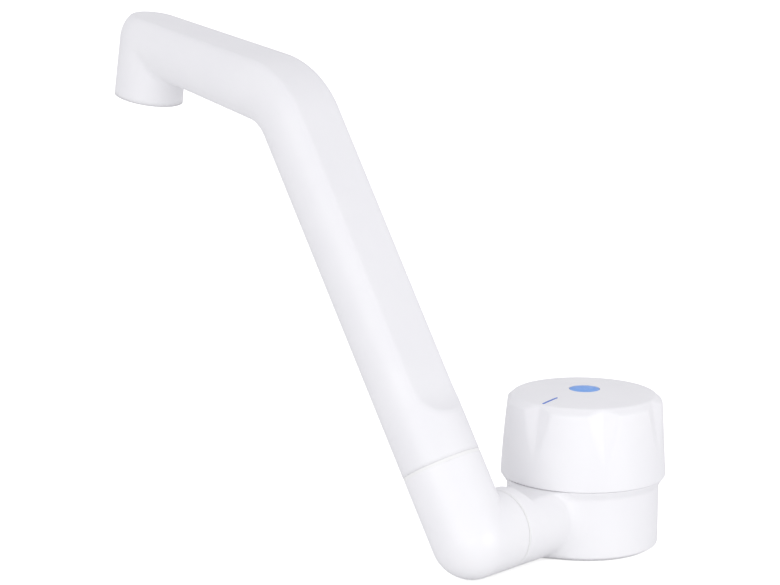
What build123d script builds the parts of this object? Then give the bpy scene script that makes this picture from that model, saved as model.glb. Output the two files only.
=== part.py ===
import os
from math import cos, degrees, radians, sin, tan

from build123d import *

# Cold water tap: a knob that turns over a round body, a neck at its side and a folding spout.
# The origin is on the body's axis at the worktop. +Z is up, the neck leaves along -Y, and the
# raised spout reaches out along -X.

# Clearances shared by the whole tap
running = 0.08
film = 0.04
slip = 0.15
loose = 0.4

# Body
body_radius = 22.5
body_top = 21.2
foot_inset = 2.2
foot_chamfer = 1.3
brim_radius = 24.2
brim_drop = 2.5
chamber_radius = 17.5
floor_thickness = 3.0

# Neck
neck_radius = 11.7
neck_height = 12.1
neck_seam = 39.8
neck_relief_radius = 35.0
channel_radius = 5.5
seam_gap = 0.5
seam_inset = 0.5
rim_round = 0.35

# Water inlet in the underside
inlet_thread_radius = 7.6
inlet_thread_depth = 8.0
inlet_bush_radius = 10.4
inlet_bush_height = 9.5
inlet_flange_radius = 11.8
inlet_flange_thickness = 1.5
inlet_orifice_radius = 4.0
inlet_hub_wall = 2.4
seat_radius = 7.0
seat_rise = 2.0

# Base gasket
gasket_inner = 14.5
gasket_outer = 18.8
gasket_thickness = 1.5

# Rubber rings
ring_width = 1.8
ring_depth = 1.2
ring_margin = 0.2
ring_edge = 0.35
ring_spacing = 2.6

# Ceramic headwork
seal_height = 1.8
disc_radius = 8.2
disc_thickness = 2.5
port_inner = 2.0
port_outer = 6.6
port_angle = 76.0
driver_radius = 7.6
driver_height = 2.3
driver_lug_width = 2.6
driver_lug_depth = 1.1
washer_thickness = 0.4
cage_wall = 1.5
cage_overlap = 0.7
window_angle = 84.0
window_margin = 0.3
housing_radius = 10.4
housing_flange_radius = 12.8
housing_flange_thickness = 1.3
hex_across_flats = 21.0
hex_height = 2.3
spindle_radius = 4.5
spindle_head_radius = 4.0
spindle_head_height = 6.4
spindle_flats = 6.6
spindle_ring_height = 3.0
circlip_thickness = 0.8
circlip_width = 2.2
circlip_opening = 60.0

# Bonnet that closes the body
bonnet_radius = 20.4
bonnet_thickness = 3.0
bonnet_skirt_wall = 1.9
bonnet_skirt_depth = 3.4
tower_radius = 13.4
tower_top = 31.0
notches = 6
notch_width = 4.0
notch_inset = 2.2
notch_depth = 1.0
stop_inner = 16.0
stop_outer = 18.0
stop_height = 3.0
stop_margin = 1.0

# Knob
knob_turn = 90.0
knob_gap = 0.4
rim_overhang = 0.25
skirt_flare = 1.35
shoulder_drop = 1.9
shoulder_run = 2.2
crown_height = 23.8
crown_dome = 1.25
knob_wall = 2.7
knob_top_wall = 2.6
knob_edge_round = 1.0
grooves = 7
groove_depth = 1.8
groove_wall = 2.2
groove_length = 16.3
groove_spread = 5.0
web_thickness = 1.6
hub_wall = 2.1
insert_across_flats = 11.0
insert_height = 5.6
screw_shank_radius = 1.65
screw_head_radius = 3.6
screw_head_height = 1.7
screw_drive = 2.5
screw_length = 10.0
cap_radius = 4.5
cap_thickness = 1.2
index_margin = 0.6
index_length = 7.3
index_width = 0.9
index_depth = 0.5

# Nipple that carries the elbow on the neck
nipple_radius = 6.95
nipple_bore = 5.2
nipple_length = 12.8
collar_radius = 8.6
collar_thickness = 2.5
neck_spigot_radius = 8.12
neck_spigot_length = 10.0

# Elbow and the seat of the spout in it
elbow_margin = 0.2
seam_height = 22.5
spout_socket_radius = 9.0
spout_socket_depth = 12.0
spout_spigot_bore = 6.4
spout_washer_width = 1.3
snap_inset = 1.5
snap_width = 1.2
snap_depth = 0.7
snap_opening = 40.0

# Spout
spout_rise = 60.0
arm_rise = 11.5
spout_radius = 11.7
riser_length = 140.0
bend_radius = 21.5
arm_length = 56.0
arm_tip_radius = 10.2
flat_ratio = 0.68
flat_start = 44.0
flat_runout_radius = 12.8
flat_edge_round = 2.0
crease_round = 1.5
spout_wall = 2.2
spout_bore_start = 26.0
spout_edge_chamfer = 0.5

# Outlet
outlet_drop = 18.0
outlet_mouth_radius = 10.5
outlet_shift = 1.2
outlet_recess_radius = 8.6
outlet_recess_depth = 9.0
outlet_bore = 7.0
straightener_height = 6.0
straightener_wall = 1.1
straightener_inset = 0.8
vanes = 5
vane_thickness = 0.8
vane_pitch = 3.0
mesh_thickness = 0.5
mesh_hole_radius = 0.75
mesh_pitch = 2.3
mesh_rings = 2

# Heights up the headwork and the knob
seat_top = inlet_bush_height + seat_rise
fixed_disc_bottom = seat_top + seal_height
turning_disc_bottom = fixed_disc_bottom + disc_thickness + film
driver_bottom = turning_disc_bottom + disc_thickness
driver_top = driver_bottom + driver_height
cage_roof = driver_top + washer_thickness + film
cage_foot = fixed_disc_bottom - cage_overlap
plate_top = body_top + bonnet_thickness
hex_bottom = tower_top + housing_flange_thickness
hex_top = hex_bottom + hex_height
circlip_bottom = hex_top + slip
head_bottom = circlip_bottom + circlip_thickness
spindle_top = head_bottom + spindle_head_height
hub_bottom = head_bottom + loose
insert_top = spindle_top + slip
knob_bottom = body_top + knob_gap
crown_edge = knob_bottom + crown_height
crown_centre = crown_edge + crown_dome
crown_inner = crown_edge - knob_top_wall
shoulder_height = crown_edge - shoulder_drop
cap_seat = crown_centre - cap_thickness
screw_seat = cap_seat - screw_head_height - slip
rim_radius = brim_radius + rim_overhang
shoulder_radius = rim_radius - skirt_flare
crown_radius = shoulder_radius - shoulder_run
groove_radius = shoulder_radius - groove_depth
index_outer = crown_radius - index_margin
index_inner = index_outer - index_length
crown_sphere_radius = (crown_radius ** 2 + crown_dome ** 2) / (2 * crown_dome)

# Directions and points of the neck and the spout
elbow_reach = neck_seam + seam_gap + spout_radius + elbow_margin
elbow_centre = Vector(0, -elbow_reach, neck_height)
riser_axis = Vector(-cos(radians(spout_rise)), 0, sin(radians(spout_rise)))
riser_normal = Vector(sin(radians(spout_rise)), 0, cos(radians(spout_rise)))
arm_axis = Vector(-cos(radians(arm_rise)), 0, sin(radians(arm_rise)))
arm_normal = Vector(sin(radians(arm_rise)), 0, cos(radians(arm_rise)))
bend_turn = spout_rise - arm_rise
bend_tangent = bend_radius * tan(radians(bend_turn / 2))
bend_start = riser_length - bend_tangent
bend_corner = elbow_centre + riser_axis * riser_length
bend_pivot = elbow_centre + riser_axis * bend_start - riser_normal * bend_radius
mouth_centre = bend_corner + arm_axis * arm_length - arm_normal * outlet_drop
crown_distance = arm_length + outlet_shift
spout_flat = spout_radius * flat_ratio
tip_flat = arm_tip_radius * flat_ratio
bore_radius = spout_radius - spout_wall
bore_flat = spout_flat - spout_wall
tip_bore_radius = arm_tip_radius - spout_wall
tip_bore_flat = tip_flat - spout_wall
elbow_top = seam_height - seam_gap
spigot_radius = spout_socket_radius - running
spigot_foot = elbow_top - spout_socket_depth + loose
neck_socket_radius = neck_spigot_radius + running
neck_socket_depth = seam_gap + neck_spigot_length + loose
neck_snap = neck_seam + seam_gap + snap_inset
neck_ring_starts = [neck_snap + snap_width + ring_spacing / 4 + step * ring_spacing for step in (0, 1)]
spout_snap = elbow_top - snap_inset - snap_width
spout_ring_starts = [spout_snap - ring_width - step * ring_spacing for step in (1 / 2, 3 / 2)]
spindle_ring_starts = [cage_roof + spindle_ring_height * step for step in (1 / 2, 3 / 2)]
inlet_ring_start = (inlet_flange_thickness + inlet_bush_height - ring_width) / 2
bonnet_ring_radius = (chamber_radius + bonnet_radius) / 2


def neck_plane(distance):
    """Plane square to the neck, this far from the body's axis."""
    return Plane(origin=(0, -distance, neck_height), x_dir=(1, 0, 0), z_dir=(0, -1, 0))


def riser_plane(distance):
    """Plane square to the spout's riser, this far from the elbow's centre."""
    return Plane(origin=elbow_centre + riser_axis * distance, x_dir=riser_normal, z_dir=riser_axis)


def arm_plane(distance):
    """Plane square to the arm, this far from the corner of the bend."""
    return Plane(origin=bend_corner + arm_axis * distance, x_dir=arm_normal, z_dir=arm_axis)


def outlet_plane(height):
    """Plane square to the outlet, this far above its mouth."""
    return Plane(origin=mouth_centre + arm_normal * height, x_dir=arm_axis, z_dir=arm_normal)


def annulus(outer, inner):
    """Ring drawn in the sketch that is open."""
    Circle(outer)
    Circle(inner, mode=Mode.SUBTRACT)


def part_ring(outer, inner, start, angle, mode=Mode.ADD):
    """Part of a ring, from this direction round by this angle, drawn in the open sketch."""
    outside = Edge.make_circle(outer, start_angle=start, end_angle=start + angle)
    inside = Edge.make_circle(inner, start_angle=start, end_angle=start + angle)
    first_end = Edge.make_line(inside @ 0, outside @ 0)
    last_end = Edge.make_line(inside @ 1, outside @ 1)
    make_face([outside, last_end, inside, first_end], mode=mode)


def flatted_circle(radius, flat):
    """Round section with a flat on its +X side, drawn in the sketch that is open."""
    Circle(radius)
    with Locations((flat + radius, 0)):
        Rectangle(2 * radius, 2 * radius, mode=Mode.SUBTRACT)


os.makedirs("parts", exist_ok=True)

# The body is one moulding: a round pedestal with a brim under the knob and the neck at its side.
with BuildPart() as tap_body:
    with BuildSketch(Plane.XZ):
        with BuildLine():
            Polyline((0, 0), (body_radius - foot_inset, 0), (body_radius, foot_chamfer),
                     (body_radius, body_top - brim_drop), (brim_radius, body_top), (0, body_top),
                     close=True)
        make_face()
    revolve(axis=Axis.Z)
    with BuildSketch(neck_plane(0)):
        Circle(neck_radius)
    extrude(amount=neck_seam)
    fillet(tap_body.faces().sort_by(Axis.Y)[0].edges(), radius=rim_round)
    with BuildSketch(Plane.XY.offset(body_top)):
        Circle(neck_relief_radius)
    extrude(amount=neck_radius, mode=Mode.SUBTRACT)
    with BuildSketch(Plane.XY.offset(floor_thickness)):
        annulus(chamber_radius, inlet_bush_radius + inlet_hub_wall)
    extrude(amount=body_top, mode=Mode.SUBTRACT)
    with BuildSketch(Plane.XY.offset(inlet_bush_height)):
        Circle(chamber_radius)
    extrude(amount=body_top, mode=Mode.SUBTRACT)
    with BuildSketch(Plane.XY):
        Circle(inlet_bush_radius + running)
    extrude(amount=body_top, mode=Mode.SUBTRACT)
    with BuildSketch(Plane.XY):
        Circle(inlet_flange_radius + slip)
    extrude(amount=inlet_flange_thickness, mode=Mode.SUBTRACT)
    with BuildSketch(Plane.XY):
        annulus(gasket_outer + slip, gasket_inner - slip)
    extrude(amount=gasket_thickness, mode=Mode.SUBTRACT)
    with BuildSketch(neck_plane(neck_seam)):
        Circle(channel_radius)
    extrude(amount=chamber_radius - channel_radius / 2 - neck_seam, mode=Mode.SUBTRACT)
    with BuildSketch(neck_plane(neck_seam)):
        Circle(nipple_radius + film)
    extrude(amount=-nipple_length, mode=Mode.SUBTRACT)
    with BuildSketch(neck_plane(neck_seam)):
        Circle(collar_radius + slip)
    extrude(amount=-collar_thickness, mode=Mode.SUBTRACT)

tap_body.part.label = "tap_body"
export_step(tap_body.part, "parts/tap_body.step")

# Flat ring let into the underside, which seals the tap to the worktop.
with BuildPart() as base_gasket:
    with BuildSketch(Plane.XY):
        annulus(gasket_outer, gasket_inner)
    extrude(amount=gasket_thickness)

base_gasket.part.label = "base_gasket"
export_step(base_gasket.part, "parts/base_gasket.step")

# Turned brass bush, with the female inlet thread below and the valve seat on top.
with BuildPart() as inlet_bush:
    with BuildSketch(Plane.XY):
        Circle(inlet_flange_radius)
    extrude(amount=inlet_flange_thickness)
    with BuildSketch(Plane.XY):
        Circle(inlet_bush_radius)
    extrude(amount=inlet_bush_height)
    with BuildSketch(Plane.XY):
        Circle(seat_radius)
    extrude(amount=seat_top)
    with BuildSketch(Plane.XY):
        Circle(inlet_orifice_radius)
    extrude(amount=seat_top, mode=Mode.SUBTRACT)
    with BuildSketch(Plane.XY):
        Circle(inlet_thread_radius)
    extrude(amount=inlet_thread_depth, mode=Mode.SUBTRACT)
    with BuildSketch(Plane.XY.offset(inlet_ring_start - ring_margin)):
        annulus(inlet_bush_radius + loose, inlet_bush_radius - ring_depth)
    extrude(amount=ring_width + 2 * ring_margin, mode=Mode.SUBTRACT)

inlet_bush.part.label = "inlet_bush"
export_step(inlet_bush.part, "parts/inlet_bush.step")

with BuildPart() as inlet_oring:
    with BuildSketch(Plane.XY.offset(inlet_ring_start)):
        annulus(inlet_bush_radius + film, inlet_bush_radius + film - ring_depth)
    extrude(amount=ring_width)
    chamfer(inlet_oring.edges().filter_by(GeomType.CIRCLE), length=ring_edge)

inlet_oring.part.label = "inlet_oring"
export_step(inlet_oring.part, "parts/inlet_oring.step")

# The bonnet screws into the body's top, closes the water space and carries the headwork.
# A raised arc on it stops the knob at each end of its turn.
finger_angle = degrees(2 * web_thickness / (stop_inner + stop_outer))
stop_free = knob_turn + finger_angle + 2 * stop_margin
stop_start = 90 + knob_turn + finger_angle / 2 + stop_margin
with BuildPart() as bonnet:
    with BuildSketch(Plane.XY.offset(body_top)):
        Circle(bonnet_radius)
    extrude(amount=bonnet_thickness)
    chamfer(bonnet.faces().sort_by(Axis.Z)[-1].edges(), length=rim_round)
    with BuildSketch(Plane.XY.offset(body_top)):
        Circle(chamber_radius - running)
    extrude(amount=-bonnet_skirt_depth)
    with BuildSketch(Plane.XY.offset(plate_top)):
        Circle(tower_radius)
    extrude(amount=tower_top - plate_top)
    with BuildSketch(Plane.XY.offset(body_top)):
        Circle(chamber_radius - bonnet_skirt_wall)
    extrude(amount=-bonnet_skirt_depth, mode=Mode.SUBTRACT)
    with BuildSketch(Plane.XY.offset(body_top)):
        Circle(housing_radius + running)
    extrude(amount=tower_top - body_top, mode=Mode.SUBTRACT)
    with BuildSketch(Plane.XY.offset(tower_top)):
        Circle(housing_radius + running + ring_depth)
    extrude(amount=-ring_depth, mode=Mode.SUBTRACT)
    with BuildSketch(Plane.XY.offset(body_top)):
        annulus(bonnet_ring_radius + ring_width / 2, bonnet_ring_radius - ring_width / 2)
    extrude(amount=ring_depth, mode=Mode.SUBTRACT)
    with BuildSketch(Plane.XY.offset(plate_top)):
        with PolarLocations(bonnet_radius, notches):
            Rectangle(2 * notch_inset, notch_width)
    extrude(amount=-notch_depth, mode=Mode.SUBTRACT)
    with BuildSketch(Plane.XY.offset(plate_top)):
        part_ring(stop_outer, stop_inner, stop_start, 360 - stop_free)
    extrude(amount=stop_height)

bonnet.part.label = "bonnet"
export_step(bonnet.part, "parts/bonnet.step")

with BuildPart() as bonnet_oring:
    with BuildSketch(Plane.XY.offset(body_top)):
        annulus(bonnet_ring_radius + ring_width / 2 - film,
                bonnet_ring_radius - ring_width / 2 + film)
    extrude(amount=ring_depth)
    chamfer(bonnet_oring.edges().filter_by(GeomType.CIRCLE), length=ring_edge)

bonnet_oring.part.label = "bonnet_oring"
export_step(bonnet_oring.part, "parts/bonnet_oring.step")

# Headwork housing: a cage round the discs with a window each side, a threaded waist, a flange
# that sits on the bonnet's tower and a hexagon for the spanner.
with BuildPart() as headwork_housing:
    with BuildSketch(Plane.XY.offset(cage_foot)):
        annulus(disc_radius + slip + cage_wall, disc_radius + slip)
    extrude(amount=cage_roof - cage_foot)
    with BuildSketch(Plane.XY.offset(driver_bottom + window_margin)):
        for side in (0, 180):
            part_ring(housing_radius, driver_radius, side - window_angle / 2, window_angle)
    extrude(amount=driver_height - 2 * window_margin, mode=Mode.SUBTRACT)
    with BuildSketch(Plane.XY.offset(cage_roof)):
        Circle(housing_radius)
    extrude(amount=tower_top - cage_roof)
    with BuildSketch(Plane.XY.offset(tower_top)):
        Circle(housing_flange_radius)
    extrude(amount=housing_flange_thickness)
    with BuildSketch(Plane.XY.offset(hex_bottom)):
        RegularPolygon(hex_across_flats / 2, 6, major_radius=False)
    extrude(amount=hex_height)
    with BuildSketch(Plane.XY.offset(cage_roof)):
        Circle(spindle_radius + running)
    extrude(amount=hex_top - cage_roof, mode=Mode.SUBTRACT)

headwork_housing.part.label = "headwork_housing"
export_step(headwork_housing.part, "parts/headwork_housing.step")

with BuildPart() as housing_oring:
    with BuildSketch(Plane.XY.offset(tower_top - ring_depth)):
        annulus(housing_radius + running + ring_depth - film, housing_radius + film)
    extrude(amount=ring_depth)
    chamfer(housing_oring.edges().filter_by(GeomType.CIRCLE), length=ring_edge)

housing_oring.part.label = "housing_oring"
export_step(housing_oring.part, "parts/housing_oring.step")

# Rubber seal on the seat, which presses the two discs together.
with BuildPart() as seat_seal:
    with BuildSketch(Plane.XY.offset(seat_top)):
        annulus(disc_radius, inlet_orifice_radius)
    extrude(amount=seal_height)

seat_seal.part.label = "seat_seal"
export_step(seat_seal.part, "parts/seat_seal.step")

# Ceramic discs: each has two ports, and a quarter turn brings the ports over one another.
with BuildPart() as fixed_disc:
    with BuildSketch(Plane.XY.offset(fixed_disc_bottom)):
        Circle(disc_radius)
        for side in (90, 270):
            part_ring(port_outer, port_inner, side - port_angle / 2, port_angle, Mode.SUBTRACT)
    extrude(amount=disc_thickness)

fixed_disc.part.label = "fixed_disc"
export_step(fixed_disc.part, "parts/fixed_disc.step")

with BuildPart() as turning_disc:
    with BuildSketch(Plane.XY.offset(turning_disc_bottom)):
        Circle(disc_radius - slip)
        for side in (0, 180):
            part_ring(port_outer, port_inner, side - port_angle / 2, port_angle, Mode.SUBTRACT)
    extrude(amount=disc_thickness)
    with BuildSketch(Plane.XY.offset(driver_bottom)):
        Rectangle(driver_lug_width + 2 * running, 2 * disc_radius)
    extrude(amount=-driver_lug_depth, mode=Mode.SUBTRACT)

turning_disc.part.label = "turning_disc"
export_step(turning_disc.part, "parts/turning_disc.step")

# Spindle: its foot drives the turning disc and its flatted head takes the knob.
with BuildPart() as spindle:
    with BuildSketch(Plane.XY.offset(driver_bottom)):
        Circle(driver_radius)
        for side in (0, 180):
            part_ring(disc_radius, spindle_radius, side - port_angle / 2, port_angle,
                      Mode.SUBTRACT)
    extrude(amount=driver_height)
    with BuildSketch(Plane.XY.offset(driver_bottom)):
        Rectangle(driver_lug_width, 2 * driver_radius)
    extrude(amount=-driver_lug_depth)
    with BuildSketch(Plane.XY.offset(driver_bottom)):
        Circle(spindle_radius)
    extrude(amount=head_bottom - driver_bottom)
    with BuildSketch(Plane.XY.offset(head_bottom)):
        Circle(spindle_head_radius)
        Rectangle(spindle_flats, 2 * spindle_head_radius, mode=Mode.INTERSECT)
    extrude(amount=spindle_head_height)
    for height in spindle_ring_starts:
        with BuildSketch(Plane.XY.offset(height - ring_margin)):
            annulus(spindle_radius + loose, spindle_radius - ring_depth)
        extrude(amount=ring_width + 2 * ring_margin, mode=Mode.SUBTRACT)
    with BuildSketch(Plane.XY.offset(circlip_bottom)):
        annulus(spindle_radius + loose, spindle_radius - circlip_thickness)
    extrude(amount=circlip_thickness, mode=Mode.SUBTRACT)
    with BuildSketch(Plane.XY.offset(spindle_top)):
        Circle(screw_shank_radius + film)
    extrude(amount=-screw_length, mode=Mode.SUBTRACT)

spindle.part.label = "spindle"
export_step(spindle.part, "parts/spindle.step")

# Low-friction washer between the spindle's foot and the housing.
with BuildPart() as spindle_washer:
    with BuildSketch(Plane.XY.offset(driver_top)):
        annulus(driver_radius, spindle_radius + slip)
    extrude(amount=washer_thickness)

spindle_washer.part.label = "spindle_washer"
export_step(spindle_washer.part, "parts/spindle_washer.step")

with BuildPart() as spindle_orings:
    for height in spindle_ring_starts:
        with BuildSketch(Plane.XY.offset(height)):
            annulus(spindle_radius + film, spindle_radius + film - ring_depth)
        extrude(amount=ring_width)
    chamfer(spindle_orings.edges().filter_by(GeomType.CIRCLE), length=ring_edge)

spindle_orings.part.label = "spindle_orings"
export_step(spindle_orings.part, "parts/spindle_orings.step")

# Open spring ring that keeps the spindle from dropping.
with BuildPart() as spindle_circlip:
    with BuildSketch(Plane.XY.offset(circlip_bottom)):
        part_ring(spindle_radius + circlip_width, spindle_radius - circlip_thickness + film,
                  circlip_opening / 2, 360 - circlip_opening)
    extrude(amount=circlip_thickness)

spindle_circlip.part.label = "spindle_circlip"
export_step(spindle_circlip.part, "parts/spindle_circlip.step")

# Knob: a flared shell with a domed crown, seven grip grooves, webs and a hub inside, and a finger
# that meets the bonnet's raised arc.
groove_foot_height = crown_edge - groove_length
skirt_slope = (rim_radius - shoulder_radius) / (shoulder_height - knob_bottom)
groove_foot_radius = shoulder_radius + (shoulder_height - groove_foot_height) * skirt_slope
groove_in = groove_foot_radius - groove_radius
groove_reach = rim_radius - groove_radius
cavity_top_radius = groove_radius - groove_wall
web_reach = groove_radius - rim_round
index_middle = (index_inner + index_outer) / 2
index_lean = index_middle / crown_sphere_radius
index_plane = Plane(origin=(0, -index_middle, crown_centre - index_middle * index_lean / 2),
                    x_dir=(1, 0, 0), z_dir=(0, -sin(index_lean), cos(index_lean)))


def groove_plane(turn):
    """Plane square to a grip groove at its foot, turned about the knob's axis."""
    foot = Vector(0, -groove_foot_radius, groove_foot_height).rotate(Axis.Z, turn)
    along = Vector(0, groove_in, groove_length).rotate(Axis.Z, turn)
    return Plane(origin=foot, x_dir=Vector(1, 0, 0).rotate(Axis.Z, turn), z_dir=along)


with BuildPart() as knob:
    with BuildSketch(Plane.XZ):
        with BuildLine():
            Polyline((0, crown_centre), (0, knob_bottom), (rim_radius, knob_bottom),
                     (shoulder_radius, shoulder_height), (crown_radius, crown_edge))
            RadiusArc((crown_radius, crown_edge), (0, crown_centre), -crown_sphere_radius)
        make_face()
    revolve(axis=Axis.Z)
    fillet(knob.edges().filter_by(GeomType.CIRCLE).sort_by(Axis.Z)[1:3], radius=knob_edge_round)
    with BuildSketch(Plane.XZ):
        with BuildLine():
            Polyline((0, knob_bottom), (rim_radius - knob_wall, knob_bottom),
                     (cavity_top_radius, crown_inner), (0, crown_inner), close=True)
        make_face()
    revolve(axis=Axis.Z, mode=Mode.SUBTRACT)
    with BuildSketch(Plane.XY.offset(crown_inner)):
        Circle(insert_across_flats / 2 + hub_wall)
        with PolarLocations(web_reach / 2, grooves, start_angle=180 / grooves - 90):
            Rectangle(web_reach, web_thickness)
    extrude(amount=hub_bottom - crown_inner)
    with BuildSketch(Plane.XY.offset(crown_inner)):
        with Locations((0, (stop_inner + web_reach) / 2)):
            Rectangle(web_thickness, web_reach - stop_inner)
    extrude(amount=plate_top + loose - crown_inner)
    with BuildSketch(Plane.XY.offset(hub_bottom)):
        RegularPolygon(insert_across_flats / 2 + film, 6, major_radius=False)
    extrude(amount=insert_top - hub_bottom, mode=Mode.SUBTRACT)
    with BuildSketch(Plane.XY.offset(insert_top)):
        Circle(screw_shank_radius + slip)
    extrude(amount=screw_seat - insert_top, mode=Mode.SUBTRACT)
    with BuildSketch(Plane.XY.offset(screw_seat)):
        Circle(screw_head_radius + slip)
    extrude(amount=cap_seat - screw_seat, mode=Mode.SUBTRACT)
    with BuildSketch(Plane.XY.offset(cap_seat)):
        Circle(cap_radius + running)
    extrude(amount=cap_thickness, mode=Mode.SUBTRACT)
    with BuildSketch(*[groove_plane(turn * 360 / grooves) for turn in range(grooves)]):
        Polygon((0, 0), (groove_reach * groove_spread, -groove_reach),
                (-groove_reach * groove_spread, -groove_reach), align=None)
    extrude(amount=2 * groove_length, mode=Mode.SUBTRACT)
    with BuildSketch(index_plane):
        Rectangle(index_width + 2 * film, index_outer - index_inner + 2 * film)
    extrude(amount=index_depth, both=True, mode=Mode.SUBTRACT)

knob.part.label = "knob"
export_step(knob.part, "parts/knob.step")

# Six-sided brass bush in the knob's hub, with the same flats as the spindle's head.
with BuildPart() as knob_insert:
    with BuildSketch(Plane.XY.offset(insert_top)):
        RegularPolygon(insert_across_flats / 2, 6, major_radius=False)
    extrude(amount=-insert_height)
    with BuildSketch(Plane.XY.offset(insert_top)):
        Circle(spindle_head_radius + film)
        Rectangle(spindle_flats + 2 * film, 2 * spindle_head_radius + loose, mode=Mode.INTERSECT)
    extrude(amount=-insert_height, mode=Mode.SUBTRACT)

knob_insert.part.label = "knob_insert"
export_step(knob_insert.part, "parts/knob_insert.step")

with BuildPart() as knob_screw:
    with BuildSketch(Plane.XY.offset(screw_seat)):
        Circle(screw_head_radius)
    extrude(amount=screw_head_height)
    fillet(knob_screw.faces().sort_by(Axis.Z)[-1].edges(), radius=rim_round)
    with BuildSketch(Plane.XY.offset(screw_seat)):
        Circle(screw_shank_radius)
    extrude(amount=loose - screw_length)
    with BuildSketch(Plane.XY.offset(screw_seat + screw_head_height)):
        RegularPolygon(screw_drive / 2, 6, major_radius=False)
    extrude(amount=-screw_head_height / 2, mode=Mode.SUBTRACT)

knob_screw.part.label = "knob_screw"
export_step(knob_screw.part, "parts/knob_screw.step")

# Blue cap that covers the screw and shows that the tap is for cold water.
with BuildPart() as blue_cap:
    with BuildSketch(Plane.XY.offset(cap_seat)):
        Circle(cap_radius)
    extrude(amount=cap_thickness)
    fillet(blue_cap.faces().sort_by(Axis.Z)[-1].edges(), radius=rim_round)

blue_cap.part.label = "blue_cap"
export_step(blue_cap.part, "parts/blue_cap.step")

# Blue bar let into the crown, which shows where the knob stands.
with BuildPart() as index_mark:
    with BuildSketch(index_plane):
        Rectangle(index_width, index_outer - index_inner)
    extrude(amount=-index_depth)

index_mark.part.label = "index_mark"
export_step(index_mark.part, "parts/index_mark.step")

# Brass nipple: pressed into the neck up to its collar, it is the pin on which the elbow turns.
with BuildPart() as neck_nipple:
    with BuildSketch(neck_plane(neck_seam)):
        Circle(nipple_radius)
    extrude(amount=slip - nipple_length)
    with BuildSketch(neck_plane(neck_seam)):
        Circle(collar_radius)
    extrude(amount=-collar_thickness)
    with BuildSketch(neck_plane(neck_seam)):
        Circle(neck_spigot_radius)
    extrude(amount=seam_gap + neck_spigot_length)
    chamfer(neck_nipple.faces().sort_by(Axis.Y)[0].edges(), length=rim_round)
    with BuildSketch(neck_plane(neck_seam)):
        Circle(nipple_bore)
    extrude(amount=nipple_length, both=True, mode=Mode.SUBTRACT)
    for distance in neck_ring_starts:
        with BuildSketch(neck_plane(distance - ring_margin)):
            annulus(neck_spigot_radius + loose, neck_spigot_radius - ring_depth)
        extrude(amount=ring_width + 2 * ring_margin, mode=Mode.SUBTRACT)
    with BuildSketch(neck_plane(neck_snap)):
        annulus(neck_spigot_radius + loose, neck_spigot_radius - snap_depth)
    extrude(amount=snap_width, mode=Mode.SUBTRACT)

neck_nipple.part.label = "neck_nipple"
export_step(neck_nipple.part, "parts/neck_nipple.step")

with BuildPart() as neck_orings:
    for distance in neck_ring_starts:
        with BuildSketch(neck_plane(distance)):
            annulus(neck_spigot_radius + film, neck_spigot_radius + film - ring_depth)
        extrude(amount=ring_width)
    chamfer(neck_orings.edges().filter_by(GeomType.CIRCLE), length=ring_edge)

neck_orings.part.label = "neck_orings"
export_step(neck_orings.part, "parts/neck_orings.step")

# Thin washer that shows as a fine line between the neck and the elbow.
with BuildPart() as neck_washer:
    with BuildSketch(neck_plane(neck_seam)):
        annulus(neck_radius - seam_inset, neck_spigot_radius + slip)
    extrude(amount=seam_gap - film)

neck_washer.part.label = "neck_washer"
export_step(neck_washer.part, "parts/neck_washer.step")

with BuildPart() as neck_snap_ring:
    with BuildSketch(neck_plane(neck_snap)):
        part_ring(neck_spigot_radius + snap_depth, neck_spigot_radius + film - snap_depth,
                  snap_opening / 2, 360 - snap_opening)
    extrude(amount=snap_width)

neck_snap_ring.part.label = "neck_snap_ring"
export_step(neck_snap_ring.part, "parts/neck_snap_ring.step")

# Elbow: it turns on the nipple, so that the spout folds down, and takes the spout's spigot.
with BuildPart() as elbow:
    with BuildSketch(riser_plane(0)):
        Circle(spout_radius)
    extrude(amount=elbow_top)
    fillet(elbow.faces().filter_by(GeomType.PLANE).sort_by(Axis.Z)[-1].edges(), radius=rim_round)
    with Locations(elbow_centre):
        Sphere(spout_radius)
    with BuildSketch(neck_plane(neck_seam + seam_gap)):
        Circle(neck_radius)
    extrude(amount=elbow_reach - neck_seam - seam_gap)
    fillet(elbow.faces().filter_by(GeomType.PLANE).sort_by(Axis.Y)[-1].edges(), radius=rim_round)
    with Locations(elbow_centre):
        Sphere(channel_radius, mode=Mode.SUBTRACT)
    with BuildSketch(neck_plane(neck_seam)):
        Circle(channel_radius)
    extrude(amount=elbow_reach - neck_seam, mode=Mode.SUBTRACT)
    with BuildSketch(neck_plane(neck_seam)):
        Circle(neck_socket_radius)
    extrude(amount=neck_socket_depth, mode=Mode.SUBTRACT)
    with BuildSketch(neck_plane(neck_snap - slip)):
        Circle(neck_socket_radius + snap_depth + slip)
    extrude(amount=snap_width + 2 * slip, mode=Mode.SUBTRACT)
    with BuildSketch(riser_plane(0)):
        Circle(channel_radius)
    extrude(amount=elbow_top, mode=Mode.SUBTRACT)
    with BuildSketch(riser_plane(elbow_top)):
        Circle(spout_socket_radius)
    extrude(amount=-spout_socket_depth, mode=Mode.SUBTRACT)
    with BuildSketch(riser_plane(spout_snap - slip)):
        Circle(spout_socket_radius + snap_depth + slip)
    extrude(amount=snap_width + 2 * slip, mode=Mode.SUBTRACT)

elbow.part.label = "elbow"
export_step(elbow.part, "parts/elbow.step")

# Thrust washer deep in the joint between the elbow and the spout.
with BuildPart() as spout_washer:
    with BuildSketch(riser_plane(elbow_top)):
        annulus(spout_socket_radius + spout_washer_width, spout_socket_radius + film)
    extrude(amount=seam_gap - film)

spout_washer.part.label = "spout_washer"
export_step(spout_washer.part, "parts/spout_washer.step")

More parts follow.
